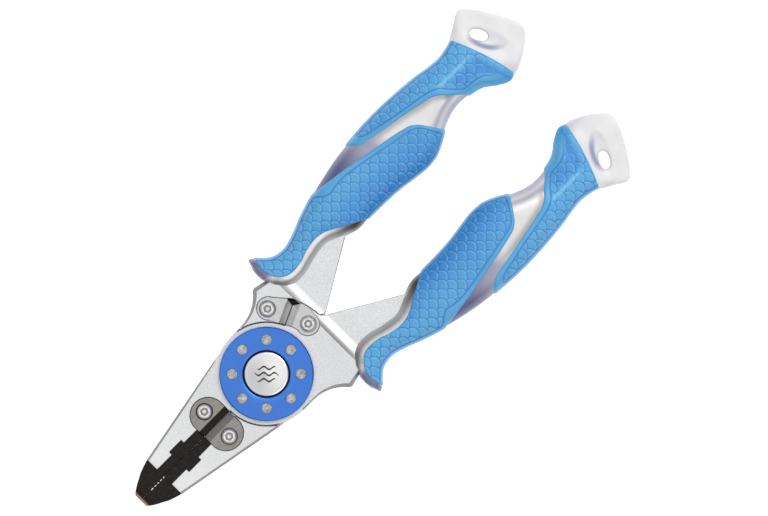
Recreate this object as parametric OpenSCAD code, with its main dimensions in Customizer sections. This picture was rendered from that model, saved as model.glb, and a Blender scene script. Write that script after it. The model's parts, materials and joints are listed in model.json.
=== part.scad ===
// Fishing pliers, closed, lying flat: two lapped levers on one pivot, replaceable jaw tips,
// cutters in front of and behind the pivot, ring-and-plate pivot hardware, two-colour soft grips.
// X points to the jaw tips, Z points up out of the face with the cutters, Y spans the handles.
// Lever B has its handle at +Y and its jaw at -Y. Lever A is the same shape turned over about X.
// Millimetres. The origin is under the middle of the whole tool, on the surface it lies on.

/* [Levers] */
// thickness of the levers around the pivot
body_t = 11; // [10.6:0.2:12]
// thickness of the handle bars that run into the grips
bar_t = 7; // [6:0.5:7.5]
// thickness of the jaws at their very front
nose_t = 7.2; // [6.6:0.2:8]
// gap between the two laps at the middle plane
lap_gap = 0.3; // [0.24:0.02:0.4]
// radius of each lever's round lap
lap_r = 16.1; // [15.9:0.05:16.1]
// clear width of the arc gap between a lap and the other lever
arc_gap = 0.35; // [0.3:0.05:0.35]
// radius of the concave sweep from the shoulder down to the bar
cove_r = 7; // [6:0.5:8]

/* [Jaws] */
// gap between one jaw's face and the middle plane
face_gap = 0.05; // [0.03:0.01:0.08]
// spacing of the teeth in the jaw tips
tooth_pitch = 1.25; // [1:0.05:1.5]
// depth of the teeth
tooth_depth = 0.45; // [0.3:0.05:0.6]
// number of teeth in each tip
teeth = 12; // [9:1:12]
// half width of a jaw tip's shank
shank_w = 3.15; // [2.9:0.05:3.3]
// half width across the key of the T
key_w = 4.35; // [4:0.05:4.6]

/* [Cutters] */
// depth of the cutter seats
cutter_t = 3.6; // [3.2:0.1:3.8]
// width of the sloping land beside a front cutter's edge
front_land = 2.3; // [1.8:0.1:2.6]
// width of the sloping land beside a rear cutter's edge
rear_land = 2.1; // [1.6:0.1:2.3]
// depth of the cutting edges below the face
edge_drop = 1.5; // [1:0.1:1.8]
// radius of the screw heads
head_r = 2.4; // [2.2:0.05:2.5]
// radius of the screw shanks
screw_r = 1.5; // [1.3:0.05:1.6]
// width across the flats of the key sockets
socket_w = 2.3; // [1.8:0.1:2.5]

/* [Pivot] */
// outer radius of the coloured rings
ring_r = 14.85; // [14.2:0.05:15]
// inner radius of the coloured rings
ring_hole_r = 7.4; // [7.3:0.05:7.8]
// thickness of the coloured rings
ring_t = 1.6; // [1.2:0.1:1.8]
// number of round windows in each ring
windows = 8; // [6:1:8]
// radius of the windows
window_r = 1.65; // [1.3:0.05:1.8]
// radius of the circle of windows
window_circle = 10.8; // [10.6:0.1:11]
// radius of the centre cap
cap_r = 7; // [6.6:0.1:7]
// radius of the pivot bolt
bolt_r = 5; // [4.5:0.1:5]
// clearance all round the bolt in its bushing
bolt_clear = 0.03; // [0.02:0.01:0.05]

/* [Grips] */
// thickness across the flats of the grips, which the tool lies on
flat_t = 16.6; // [16:0.2:16.6]
// thickness of the blue panels over the core
panel_t = 1.4; // [1.2:0.1:1.6]
// depth of the bare band and collar below the blue
band_drop = 0.4; // [0.3:0.05:0.5]
// thickness of the clear end tabs
tab_t = 7; // [6:0.5:8]
// width of the lanyard eye
eye_w = 3.6; // [3:0.1:4]
// length of the lanyard eye
eye_l = 6; // [5:0.1:6.5]

/* [Node] */
// the sub-part to draw

/* [Hidden] */
$fn = 64;

// reach from the pivot forwards to the nose and back to the end tabs
nose_x = 56.2;
tail_x = 134.5;
// where the pivot stands in the finished frame
pivot_x = (tail_x - nose_x) / 2;
mid_z = flat_t / 2;

top = body_t / 2;
bar_h = bar_t / 2;
nose_h = nose_t / 2;
lap_z = lap_gap / 2;
clear_r = lap_r + arc_gap;
// the jaws are straight in side view up to here, then taper to the nose
taper_x = 28;

// the thick part ends here and the cove starts
step_x = -22.7;
cove_run = sqrt(cove_r * cove_r - pow(cove_r - (top - bar_h), 2));
cove_x = step_x - cove_run;

// the rear cutters meet on this line through the pivot
split_a = 204;
sector_r = 24.85;
socket_r = 25.1;
corner_x = -26.6;
corner_y = 2.35;
corner_r = 1.8;

// jaw tip seats
seat_x = 27.9;
seat_end = 45.7;
seat_z = -2.5;
key_x = 33.7;
key_end = 38.9;
tooth_x = 36.6;
tip_screw_x = 36.3;
tip_screw_y = 2.4;

// front cutters: a round-ended slot across both jaws
slot_x = clear_r;
slot_r = (seat_x - slot_x) / 2;
slot_mid = slot_x + slot_r;
slot_y = 9.6 - slot_r;
front_screw_y = 5.5;
seat_floor = top - cutter_t;

// rear cutters: each is a round end and a straight edge
rear_b = [-20.3, -1.9];
rear_a = [-15, -14.1];
rear_end_r = 3.75;

head_sink = 1.2;
head_t = 1.6;
socket_deep = 1;
seam = 0.1;

// pivot stack
plate_t = 0.8;
plate_r = 13.6;
flange_t = 0.7;
cap_t = 1.2;
bush_r = bolt_r + 1.5;
thread_r = bolt_r - 1;

// lanyard eye in the end tab
eye_x = -122.5;
eye_y = 27.9;
eye_a = 62;
dish_deep = 1.2;

function arc(cx, cy, r, a0, a1, n) =
  [for (i = [0:n]) [cx + r * cos(a0 + (a1 - a0) * i / n), cy + r * sin(a0 + (a1 - a0) * i / n)]];
function polar(r, a) = [r * cos(a), r * sin(a)];

// moves a piece from the pivot's own frame into the finished frame
module placed() {
  translate([pivot_x, 0, mid_z]) children();
}

module turned() {
  rotate([180, 0, 0]) children();
}

// ---- levers ----

// side view that both jaws share: level, then tapering to the nose
module side_view(length) {
  rotate([90, 0, 0]) linear_extrude(120, center = true)
    polygon([[-150, -top], [taper_x, -top], [length, -nose_h], [length, nose_h],
      [taper_x, top], [-150, top]]);
}

module jaw_flat() {
  polygon([[0, -face_gap], [seat_end, -face_gap], [seat_end, -7.7], [8.7, -14.6], [2, -15.6],
    [0, -15.6]]);
}

// handle side of lever B: shoulder, bar and the tang inside the grip
module root_flat() {
  difference() {
    union() {
      polygon([[0, 0], [0, 16.2], [-4.5, 16.2], [-15.2, 21.2], [-15.6, 21.53], [-16.35, 20.24],
        [-16.74, 21.69], [-22.7, 20.1], [-31, 20.2], [-40, 22.4], [-50, 25], [-60, 26.5],
        [-80, 26.5], [-95, 28.5], [-110, 28.8], [-112, 27], [-112, 22.5], [-110, 21],
        [-95, 19.5], [-80, 17.5], [-65, 17.5], [-57, 17.5], [-48, 12.85], [-27.5, 0.8],
        [corner_x, corner_y], [corner_x + corner_r, corner_y], [-24, 0]]);
      translate([corner_x, corner_y]) circle(corner_r);
      translate([-16.35, 20.24]) circle(1.5);
    }
    translate([-4.5, 30.2]) circle(14, $fn = 128);
  }
}

// the part of lever B in front of the middle plane that reaches past the root: lap and sector
module lap_flat(grow) {
  circle(lap_r + grow, $fn = 128);
  intersection() {
    circle(sector_r + grow, $fn = 160);
    polygon([[0, 0], polar(40, 172), polar(40, 192), [-23.9 - grow, -7.2 - grow],
      polar(23.1, split_a + 2 * grow), [0, 0]]);
  }
}

// fills the notch between lever B's root and its sector
module lap_nook() {
  polygon([[-27.6, 0.86], [-26.2, 0.15], [-25.1, -0.9], [-24.7, -2], [-20, 0], [-22, 4.2]]);
}

// room that each lever leaves for the other's lap and sector
module lap_room() {
  circle(clear_r, $fn = 128);
  intersection() {
    circle(socket_r, $fn = 160);
    polygon([[0, 0], polar(40, 172), polar(40, 180), [-30, -3], [-21.45, -12.2], polar(23.1, split_a),
      polar(1, split_a)]);
  }
}

module lever_blank() {
  intersection() {
    union() {
      translate([0, 0, lap_z]) linear_extrude(top - lap_z) {
        difference() {
          root_flat();
          // the other lever's jaw passes here
          translate([0, 0]) polygon([[0, 0], [0, 30], [40, 30], [40, 0]]);
        }
        jaw_flat();
        lap_flat(0);
        lap_nook();
      }
      translate([0, 0, -top]) linear_extrude(top + lap_z) {
        difference() {
          union() {
            root_flat();
            jaw_flat();
          }
          mirror([0, 1]) lap_room();
          polygon([[0, -20], [8.7, -20], [8.7, 0], [0, 0]]);
        }
      }
    }
    side_view(seat_end);
  }
}

// takes the bar down to its own thickness behind the cove
module cove_cuts() {
  for (side = [0, 1]) mirror([0, 0, side]) {
    translate([cove_x, 0, bar_h + cove_r]) rotate([90, 0, 0])
      cylinder(h = 80, r = cove_r, center = true, $fn = 128);
    translate([cove_x - 100, -5, bar_h]) cube([100, 50, 10]);
  }
}

module lever_shape() {
  difference() {
    lever_blank();
    cove_cuts();
  }
}

// seats that are cut from the face, for the lever whose jaw is at -Y
module jaw_seats() {
  // front cutter
  translate([0, 0, seat_floor]) linear_extrude(20) front_slot(0);
  // jaw tip shank and its key
  translate([seat_x, -shank_w, seat_z]) cube([40, shank_w + 1, 20]);
  translate([key_x, -key_w, seat_z]) cube([key_end - key_x, key_w + 1, 20]);
  // screws
  translate([slot_mid, -front_screw_y, -3]) cylinder(h = 10, r = screw_r);
  translate([tip_screw_x, -tip_screw_y, -20]) cylinder(h = 40, r = screw_r - 0.25);
  translate([tip_screw_x, -tip_screw_y, -20]) cylinder(h = 20 + tip_head_z(), r = head_r - 0.3);
}

// the tip screw's head sits this far below the middle plane
function tip_head_z() = -top + 1.9;

module front_slot(inset) {
  intersection() {
    union() {
      translate([slot_mid, -slot_y]) circle(slot_r - inset);
      translate([slot_x + inset, -slot_y]) square([2 * (slot_r - inset), slot_y + 2]);
    }
    translate([0, -20]) square([40, 20 - (inset > 0 ? face_gap : 0) + (inset > 0 ? 0 : 1)]);
  }
}

// outline of the rear cutter that sits on lever B; its seat, with no inset, runs out past the
// cutting line, so that no thin wall is left there
module rear_slot_b(inset) {
  line = split_a + (inset > 0 ? -0.15 : 1.2);
  intersection() {
    polygon(concat(arc(rear_b[0], rear_b[1], rear_end_r - inset, -15, 180, 20),
      [[-24.1, -7.4], polar(23.1, line), polar(16.4 + inset, line), [-16.2 - inset, -4.6]]));
    circle(sector_r - (inset > 0 ? 0.02 : -0.5), $fn = 160);
  }
}

// outline of the rear cutter that sits on lever A, and its seat in the same way
module rear_slot_a(inset) {
  line = split_a + (inset > 0 ? 0.35 : -1.2);
  difference() {
    union() {
      translate(rear_a) circle(rear_end_r - inset);
      polygon([polar(clear_r - 0.6, line), polar(23.1, line), [-21.4 + inset, -12.2],
        [-18.3 + inset, -15.8], [-12, -13]]);
    }
    circle(clear_r + (inset > 0 ? 0.02 : -0.5), $fn = 128);
    polygon([[-21.45 - 0.02, -12.2], [-30, -12.2], [-30, -5], polar(23.1, split_a)]);
  }
}

module lever_b() {
  color([0.86, 0.87, 0.88]) placed() difference() {
    lever_shape();
    jaw_seats();
    translate([0, 0, top - cutter_t]) linear_extrude(20) rear_slot_b(0);
    translate([-20.4, -1.8, 0.8]) cylinder(h = 10, r = screw_r);
    // pivot bolt and front plate
    cylinder(h = 40, r = bolt_r, center = true);
    translate([0, 0, top - plate_t]) cylinder(h = 10, r = plate_r);
  }
}

module lever_a() {
  color([0.86, 0.87, 0.88]) placed() difference() {
    turned() lever_shape();
    mirror([0, 1, 0]) jaw_seats();
    translate([0, 0, top - cutter_t]) linear_extrude(20) rear_slot_a(0);
    translate([-14.7, -14.2, -3]) cylinder(h = 10, r = screw_r);
    // bushing and rear plate
    cylinder(h = 40, r = bush_r, center = true);
    translate([0, 0, -10 - top + plate_t]) cylinder(h = 10, r = plate_r);
  }
}

// ---- pivot ----

module pivot_bolt() {
  color([0.72, 0.73, 0.75]) placed() {
    translate([0, 0, -top]) cylinder(h = 2 * top, r = bolt_r);
    translate([0, 0, top]) cylinder(h = flange_t, r = cap_r - 0.3);
    translate([0, 0, -top - 1.8]) cylinder(h = 1.8, r = thread_r);
  }
}

module pivot_nut() {
  color([0.72, 0.73, 0.75]) placed() difference() {
    translate([0, 0, -top - 1.8]) rotate_extrude()
      polygon([[thread_r, 0], [cap_r - 0.5, 0], [cap_r, 0.5], [cap_r, 1.65], [thread_r, 1.65]]);
    for (a = [0, 180]) rotate([0, 0, a]) translate([5.5, 0, -top - 2.8]) cylinder(h = 2, r = 0.8);
  }
}

module pivot_bushing() {
  color([0.72, 0.56, 0.3]) placed() difference() {
    translate([0, 0, -top + plate_t]) cylinder(h = top - plate_t - lap_z, r = bush_r);
    cylinder(h = 40, r = bolt_r + bolt_clear, center = true);
  }
}

module lap_washer() {
  color([0.2, 0.2, 0.2]) placed() difference() {
    cylinder(h = lap_gap * 0.6, r = lap_r - 0.8, center = true);
    cylinder(h = 4, r = bolt_r, center = true);
  }
}

module ring() {
  difference() {
    rotate_extrude($fn = 128)
      polygon([[ring_hole_r, 0], [ring_r, 0], [ring_r, ring_t - 0.4], [ring_r - 0.4, ring_t],
        [ring_hole_r + 0.3, ring_t], [ring_hole_r, ring_t - 0.3]]);
    for (i = [0:windows - 1]) rotate([0, 0, i * 360 / windows]) translate([window_circle, 0, -1])
      cylinder(h = 5, r = window_r, $fn = 32);
  }
}

module front_ring() {
  color([0.28, 0.49, 0.82]) placed() translate([0, 0, top]) ring();
}

module rear_ring() {
  color([0.28, 0.49, 0.82]) placed() turned() translate([0, 0, top]) ring();
}

module front_plate() {
  color([0.7, 0.7, 0.7]) placed() translate([0, 0, top - plate_t]) difference() {
    cylinder(h = plate_t, r = plate_r);
    translate([0, 0, -1]) cylinder(h = 4, r = bolt_r);
  }
}

module rear_plate() {
  color([0.7, 0.7, 0.7]) placed() translate([0, 0, -top]) difference() {
    cylinder(h = plate_t, r = plate_r);
    translate([0, 0, -1]) cylinder(h = 4, r = bolt_r + 0.4);
  }
}

module centre_cap() {
  color([0.8, 0.8, 0.8]) placed() translate([0, 0, top + flange_t]) rotate_extrude()
    polygon([[0, 0], [cap_r, 0], [cap_r, cap_t - 0.4], [cap_r - 0.4, cap_t - 0.1],
      [cap_r - 1.2, cap_t], [0, cap_t]]);
}

// ---- cutters, jaw tips and their screws ----

// wedge along +X that slopes the land down to the cutting edge at y = 0
module land_cut(length, land) {
  rotate([90, 0, 90]) linear_extrude(length)
    polygon([[-2, top - edge_drop], [0, top - edge_drop], [land, top], [land + 0.2, top + 2],
      [-2, top + 2]]);
}

module front_cutter() {
  difference() {
    translate([0, 0, seat_floor]) linear_extrude(cutter_t) front_slot(seam);
    mirror([0, 1, 0]) translate([0, face_gap, 0]) land_cut(60, front_land);
    head_hole(slot_mid, -front_screw_y);
  }
}

module head_hole(x, y) {
  translate([x, y, -5]) cylinder(h = 20, r = screw_r + 0.1);
  translate([x, y, top - head_sink]) cylinder(h = 5, r = head_r + 0.25);
}

module front_cutter_a() {
  color([0.56, 0.56, 0.55]) placed() mirror([0, 1, 0]) front_cutter();
}

module front_cutter_b() {
  color([0.56, 0.56, 0.55]) placed() front_cutter();
}

module rear_cutter_b() {
  color([0.8, 0.8, 0.8]) placed() difference() {
    translate([0, 0, seat_floor]) linear_extrude(cutter_t) rear_slot_b(seam);
    rotate([0, 0, split_a - 0.15]) mirror([0, 1, 0]) land_cut(40, rear_land);
    head_hole(-20.4, -1.8);
  }
}

module rear_cutter_a() {
  color([0.8, 0.8, 0.8]) placed() difference() {
    translate([0, 0, seat_floor]) linear_extrude(cutter_t) rear_slot_a(seam);
    rotate([0, 0, split_a + 0.35]) land_cut(40, rear_land);
    head_hole(-14.7, -14.2);
  }
}

// socket-head screw whose shank reaches down to the given height
module face_screw(x, y, foot) {
  z0 = top - head_sink;
  translate([x, y, 0]) difference() {
    union() {
      translate([0, 0, z0]) rotate_extrude()
        polygon([[0, 0], [head_r, 0], [head_r, head_t - 0.5], [head_r - 0.5, head_t], [0, head_t]]);
      translate([0, 0, foot]) cylinder(h = z0 - foot, r = screw_r);
    }
    translate([0, 0, z0 + head_t - socket_deep])
      cylinder(h = 3, r = socket_w / 2 / cos(30), $fn = 6);
  }
}

module front_cutter_screw_a() {
  color([0.75, 0.75, 0.76]) placed() face_screw(slot_mid, front_screw_y, -3);
}

module front_cutter_screw_b() {
  color([0.75, 0.75, 0.76]) placed() face_screw(slot_mid, -front_screw_y, -3);
}

module rear_cutter_screw_a() {
  color([0.75, 0.75, 0.76]) placed() face_screw(-14.7, -14.2, -3);
}

module rear_cutter_screw_b() {
  color([0.75, 0.75, 0.76]) placed() face_screw(-20.4, -1.8, 0.8);
}

// saw-tooth face of one jaw tip, from the key to the pointed nose
function tooth_face() = [for (i = [0:teeth - 1]) for (k = [0, 1])
  [tooth_x + (i + 0.5 * k) * tooth_pitch, -(k == 0 ? face_gap : face_gap + tooth_depth)]];

module tip_flat() {
  polygon(concat([[seat_x + 0.05, -face_gap]], tooth_face(),
    [[52, -face_gap], [nose_x, -face_gap], [nose_x, -2.4], [55.4, -3.1], [54.2, -3.9],
      [53, -4.6], [52, -5.1], [50, -6.2], [47.5, -7.1], [seat_end + 0.05, -7.6],
      [seat_end + 0.05, -shank_w + 0.05], [key_end - 0.05, -shank_w + 0.05],
      [key_end - 0.05, -key_w + 0.05], [key_x + 0.05, -key_w + 0.05],
      [key_x + 0.05, -shank_w + 0.05], [seat_x + 0.05, -shank_w + 0.05]]));
}

module jaw_tip() {
  difference() {
    intersection() {
      translate([0, 0, -20]) linear_extrude(40) tip_flat();
      side_view(nose_x);
      // the shank stops on its seat, the nose is full thickness and blunt-pointed
      union() {
        translate([0, -10, seat_z]) cube([seat_end + 1, 12, 20]);
        rotate([90, 0, 0]) linear_extrude(40, center = true)
          polygon([[seat_end + 0.05, -9], [seat_end + 0.05, 9], [54.2, 9], [54.2, 3.72], [55.4, 3.1],
            [nose_x, 2], [nose_x, -2], [55.4, -3.1], [54.2, -3.72], [54.2, -9]]);
      }
    }
    translate([tip_screw_x, -tip_screw_y, -20]) cylinder(h = 20, r = screw_r - 0.25);
  }
}

module jaw_tip_a() {
  color([0.12, 0.11, 0.1]) placed() mirror([0, 1, 0]) jaw_tip();
}

module jaw_tip_b() {
  color([0.12, 0.11, 0.1]) placed() jaw_tip();
}

module tip_screw() {
  translate([tip_screw_x, 0, 0]) difference() {
    union() {
      translate([0, 0, tip_head_z() - 1.5]) cylinder(h = 1.5, r = head_r - 0.35);
      translate([0, 0, tip_head_z()]) cylinder(h = -tip_head_z(), r = screw_r - 0.25);
    }
    translate([0, 0, tip_head_z() - 4.5]) cylinder(h = 4, r = 1, $fn = 6);
  }
}

module jaw_tip_screw_a() {
  color([0.7, 0.7, 0.72]) placed() translate([0, tip_screw_y, 0]) tip_screw();
}

module jaw_tip_screw_b() {
  color([0.7, 0.7, 0.72]) placed() translate([0, -tip_screw_y, 0]) tip_screw();
}

// ---- grips ----

// stations of the grip at +Y, tail to flare: outer edge x y, inner edge x y, half thickness
stations = [
  [-115.3, 33.2, -122.3, 11.2, 5.6],
  [-113, 32.5, -119.5, 10.5, 6.3],
  [-110.5, 32, -116, 12.1, 6.9],
  [-108, 31.75, -112, 15, 7.3],
  [-104.5, 32.1, -107.5, 16.25, 7.7],
  [-99, 33, -101, 16.4, 8.1],
  [-94, 33.5, -95.2, 14.5, 8.4],
  [-90, 33.8, -90.5, 11.9, 8.5],
  [-86.5, 34, -86.7, 10.2, 8.6],
  [-82, 34.1, -82, 9.6, 8.6],
  [-77, 34, -77, 10.1, 8.6],
  [-71, 33.6, -71, 10.95, 8.5],
  [-64, 32.85, -64, 11.35, 8.4],
  [-58, 31.75, -58, 11.4, 8.1],
  [-52.5, 30.5, -52.5, 11.4, 7.9],
  [-47, 29.05, -47.5, 13.7, 7.7],
  [-42, 27.4, -42.5, 15.9, 7.4],
  [-36.5, 25.2, -37, 15.6, 7.2],
  [-31, 24, -31.2, 14.2, 7.2],
  [-27, 25, -27.3, 13.9, 7.3],
  [-24.2, 27.5, -24.6, 14.6, 7.5],
  [-22.6, 29.1, -22.9, 15.3, 7.6],
  [-21, 29.2, -21.6, 17, 7.3],
  [-20.2, 26.6, -20.4, 21.2, 6.6]];
around = 24;
boxiness = 0.8;

function bulge(u) = sign(u) * pow(abs(u), boxiness);
// one closed ring of points around a station, made smaller all round by inset
function grip_ring(s, inset) =
  let (span = [s[0] - s[2], s[1] - s[3]], wide = norm(span) / 2, k = (wide - inset) / wide / 2)
  [for (j = [0:around - 1]) let (t = 360 * j / around)
    [(s[0] + s[2]) / 2 + k * span[0] * bulge(cos(t)),
      (s[1] + s[3]) / 2 + k * span[1] * bulge(cos(t)),
      (s[4] - inset) * bulge(sin(t))]];

module grip_loft(inset) {
  last = len(stations) - 1;
  points = [for (s = stations) each grip_ring(s, inset)];
  sides = [for (i = [0:last - 1]) for (j = [0:around - 1]) let (n = (j + 1) % around)
    [(i + 1) * around + j, (i + 1) * around + n, i * around + n, i * around + j]];
  start = [[for (j = [0:around - 1]) j]];
  finish = [[for (j = [around - 1:-1:0]) last * around + j]];
  intersection() {
    polyhedron(points, concat(sides, start, finish));
    translate([-150, -20, -flat_t / 2 + inset]) cube([160, 90, flat_t - 2 * inset]);
  }
}

// plan outline of the rear blue panel
module rear_panel_flat() {
  polygon([[-112, 38], [-116, 35], [-124, 8], [-106.6, 8], [-106.6, 16.5], [-104.7, 18.6],
    [-102.7, 20.5], [-100.5, 22.8], [-98, 24.3], [-95, 25], [-85, 27.1], [-75, 29], [-71, 30.4],
    [-69.5, 31.8], [-67, 34.5], [-67, 38]]);
}

// plan outline of the front blue panel
module front_panel_flat() {
  polygon([[-94.2, 14.2], [-93, 16], [-91, 19], [-89, 21.6], [-87, 23.1], [-84, 24], [-75, 25.8],
    [-65, 27.8], [-55, 29.4], [-51.2, 30], [-49, 31], [-49, 38], [-23.5, 38], [-23, 28.5],
    [-22.3, 25.5], [-22.1, 23.5], [-23, 20.2], [-24.3, 18.5], [-26, 17.1], [-28, 16.5],
    [-32, 16.8], [-36, 18.1], [-40, 18.8], [-44, 18.3], [-48, 16.3], [-52, 14], [-56.4, 11.6],
    [-58, 8], [-94.2, 8]]);
}

// the lever's bar and shoulder, as the grip is hollowed for them
module bar_room() {
  linear_extrude(bar_t + 0.2, center = true) root_flat();
  intersection() {
    linear_extrude(body_t + 0.2, center = true) root_flat();
    translate([cove_x, 0, -20]) cube([40, 40, 40]);
  }
}

module grip_core() {
  resize([0, 0, 0]) difference() {
    union() {
      grip_loft(panel_t);
      difference() {
        grip_loft(band_drop);
        linear_extrude(40, center = true) rear_panel_flat();
        linear_extrude(40, center = true) front_panel_flat();
      }
    }
    bar_room();
  }
}

module front_sleeve() {
  resize([0, 0, 0]) difference() {
    intersection() {
      grip_loft(0);
      linear_extrude(40, center = true) front_panel_flat();
    }
    grip_loft(panel_t);
    bar_room();
  }
}

module rear_sleeve() {
  resize([0, 0, 0]) difference() {
    intersection() {
      grip_loft(0);
      linear_extrude(40, center = true) rear_panel_flat();
    }
    grip_loft(panel_t);
  }
}

module grip_core_a() {
  color([0.78, 0.78, 0.8]) placed() turned() grip_core();
}

module grip_core_b() {
  color([0.78, 0.78, 0.8]) placed() grip_core();
}

module front_sleeve_a() {
  color([0.3, 0.6, 0.84]) placed() turned() front_sleeve();
}

module front_sleeve_b() {
  color([0.3, 0.6, 0.84]) placed() front_sleeve();
}

module rear_sleeve_a() {
  color([0.3, 0.6, 0.84]) placed() turned() rear_sleeve();
}

module rear_sleeve_b() {
  color([0.3, 0.6, 0.84]) placed() rear_sleeve();
}

// clear tab with its corners rounded, joined to the grip along the slanted tail
module tab_flat() {
  translate([-123.9, 35.6]) circle(2.6);
  translate([2.5 - tail_x, 21.3]) circle(2.5);
  polygon([[-115.35, 33.15], [-122.6, 37.85], [-123.9, 35.6], [-126.15, 36.9], [-134.17, 22.54],
    [-132, 21.3], [-133.9, 19.7], [-133, 18.1], [-130, 15], [-125, 12], [-122.35, 11.2]]);
}

// round-ended slot, long way at the eye's own slant
module eye_shape(w, l) {
  translate([eye_x, eye_y]) rotate([0, 0, eye_a]) {
    for (s = [-1, 1]) translate([s * (l - w) / 2, 0]) circle(w / 2, $fn = 32);
    square([l - w, w], center = true);
  }
}

module end_tab() {
  difference() {
    linear_extrude(tab_t, center = true) tab_flat();
    linear_extrude(40, center = true) eye_shape(eye_w, eye_l);
    for (side = [0, 1]) mirror([0, 0, side]) translate([-0.8, -2.2, tab_t / 2 - dish_deep])
      linear_extrude(10) eye_shape(7, 12.6);
  }
}

module end_tab_a() {
  color([0.9, 0.9, 0.92]) placed() turned() end_tab();
}

module end_tab_b() {
  color([0.9, 0.9, 0.92]) placed() end_tab();
}

lever_a();
lever_b();
pivot_bolt();
pivot_nut();
pivot_bushing();
lap_washer();
front_ring();
rear_ring();
front_plate();
rear_plate();
centre_cap();
front_cutter_a();
front_cutter_b();
front_cutter_screw_a();
front_cutter_screw_b();
rear_cutter_a();
rear_cutter_b();
rear_cutter_screw_a();
rear_cutter_screw_b();
jaw_tip_a();
jaw_tip_b();
jaw_tip_screw_a();
jaw_tip_screw_b();
grip_core_a();
grip_core_b();
front_sleeve_a();
front_sleeve_b();
rear_sleeve_a();
rear_sleeve_b();
end_tab_a();
end_tab_b();
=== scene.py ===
import json
import math

import bmesh
import bpy
import numpy as np
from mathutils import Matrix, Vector


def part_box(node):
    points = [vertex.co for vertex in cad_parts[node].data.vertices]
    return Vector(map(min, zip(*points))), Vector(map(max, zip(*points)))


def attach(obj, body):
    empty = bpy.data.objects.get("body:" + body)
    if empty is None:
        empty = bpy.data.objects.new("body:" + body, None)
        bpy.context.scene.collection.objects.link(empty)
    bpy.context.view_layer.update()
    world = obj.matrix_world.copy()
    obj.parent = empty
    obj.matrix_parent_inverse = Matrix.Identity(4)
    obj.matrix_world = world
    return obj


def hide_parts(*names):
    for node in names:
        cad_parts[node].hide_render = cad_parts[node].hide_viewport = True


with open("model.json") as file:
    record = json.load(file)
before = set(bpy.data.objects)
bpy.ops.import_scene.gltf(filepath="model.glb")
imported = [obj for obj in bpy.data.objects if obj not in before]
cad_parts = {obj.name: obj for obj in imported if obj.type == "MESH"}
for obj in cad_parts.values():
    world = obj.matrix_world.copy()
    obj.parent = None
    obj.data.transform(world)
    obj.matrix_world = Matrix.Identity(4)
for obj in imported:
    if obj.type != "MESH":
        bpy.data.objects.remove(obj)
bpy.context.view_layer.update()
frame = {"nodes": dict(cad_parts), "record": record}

MM = 0.001
NODES = frame["nodes"]
PIVOT = np.array(frame["record"]["behaviour"]["joints"][0]["pos_m"], float)
BODY = {"a": "lever_a_side", "b": "lever_b_side"}


# ---------------------------------------------------------------- shapes

def place(points, side):
    """From millimetres about the pivot, handle at +Y, to the frame. Side a is turned over about X."""
    p = np.array(points, float).reshape(-1, 3)
    if side == "a":
        p = p * [1, -1, -1]
    return p * MM + PIVOT


def make_mesh(name, verts, faces, side):
    me = bpy.data.meshes.new(name)
    me.from_pydata(place(verts, side).tolist(), [], [tuple(f) for f in faces])
    me.validate()
    me.polygons.foreach_set("use_smooth", [True] * len(me.polygons))
    me.update()
    ob = bpy.data.objects.new(name, me)
    bpy.context.scene.collection.objects.link(ob)
    return ob


def point_value(ob, name, values):
    layer = ob.data.attributes.new(name=name, type="FLOAT", domain="POINT")
    layer.data.foreach_set("value", np.asarray(values, np.float32).ravel())


def curve_through(knots, rows, at):
    """Smooth values of the rows at each place, through every knot."""
    knots, rows, at = np.asarray(knots, float), np.asarray(rows, float), np.asarray(at, float)
    gap = np.diff(knots)[:, None]
    slope = np.diff(rows, axis=0) / gap
    tan = np.zeros_like(rows)
    tan[1:-1] = (slope[:-1] * gap[1:] + slope[1:] * gap[:-1]) / (gap[1:] + gap[:-1])
    tan[0], tan[-1] = slope[0], slope[-1]
    i = np.clip(np.searchsorted(knots, at, side="right") - 1, 0, len(knots) - 2)
    h = np.diff(knots)[i][:, None]
    t = ((at - knots[i])[:, None]) / h
    t2, t3 = t * t, t * t * t
    return ((2 * t3 - 3 * t2 + 1) * rows[i] + (t3 - 2 * t2 + t) * h * tan[i]
            + (-2 * t3 + 3 * t2) * rows[i + 1] + (t3 - t2) * h * tan[i + 1])


def run_along(p):
    """How far along a line each of its points lies."""
    return np.concatenate([[0], np.cumsum(np.hypot(*np.diff(p, axis=0).T))])


def smooth_line(points, step=0.5):
    p = np.array(points, float)
    along = run_along(p)
    n = max(2, int(along[-1] / step))
    return curve_through(along, p, np.linspace(0, along[-1], n + 1))


def depth_inside(x, y, outline):
    """Distance to a closed outline in plan, positive inside."""
    best = np.full(x.shape, 1e9)
    inside = np.zeros(x.shape, bool)
    q = np.roll(outline, -1, axis=0)
    for (ax, ay), (bx, by) in zip(outline, q):
        dx, dy = bx - ax, by - ay
        size = dx * dx + dy * dy
        if size < 1e-12:
            continue
        t = np.clip(((x - ax) * dx + (y - ay) * dy) / size, 0, 1)
        best = np.minimum(best, (x - ax - t * dx) ** 2 + (y - ay - t * dy) ** 2)
        if ay != by:
            cross = ((ay > y) != (by > y)) & (x < (bx - ax) * (y - ay) / (by - ay) + ax)
            inside ^= cross
    return np.where(inside, 1, -1) * np.sqrt(best)


def quads_round(index):
    """Quads between neighbouring rows of points, where each row closes on itself."""
    a, b = index[:-1], index[1:]
    return np.stack([a, b, np.roll(b, -1, 1), np.roll(a, -1, 1)], -1).reshape(-1, 4)


def ease(a, b, v):
    """From 0 at a to 1 at b, with soft ends."""
    t = np.clip((v - a) / (b - a), 0, 1)
    return t * t * (3 - 2 * t)


# ---------------------------------------------------------------- grips

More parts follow.
